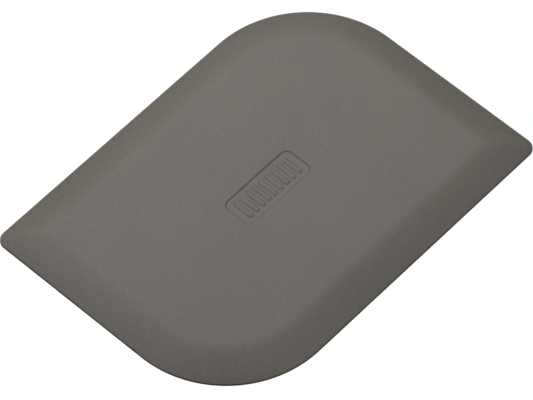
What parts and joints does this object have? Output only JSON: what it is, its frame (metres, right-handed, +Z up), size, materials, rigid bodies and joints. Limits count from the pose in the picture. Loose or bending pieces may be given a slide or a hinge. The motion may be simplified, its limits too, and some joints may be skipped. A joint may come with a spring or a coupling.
{
  "type": "bowl scraper",
  "caption": "Flat flexible scraper for bowls and dough, with wide and tight corners on opposite diagonals, a thin bevelled lip all round and a sunk ribbed grip panel in the middle.",
  "frame": {"origin": "centre of the outline, on the flat back face that lies on the table", "axes": "+X along the long edges, towards a wide corner on the +Y side; +Y along the short edges; +Z up, out of the bevelled face with the grip panel"},
  "size_m": [0.15, 0.1084, 0.0045],
  "materials": {
    "silicone_front": "fine matte moulded grain",
    "silicone_back": "fine matte moulded grain",
    "core": "as-moulded, lightly fibrous"
  },
  "bodies": {
    "root": {"front_skin": "silicone_front", "back_skin": "silicone_back", "core_plate": "core"}
  },
  "joints": []
}
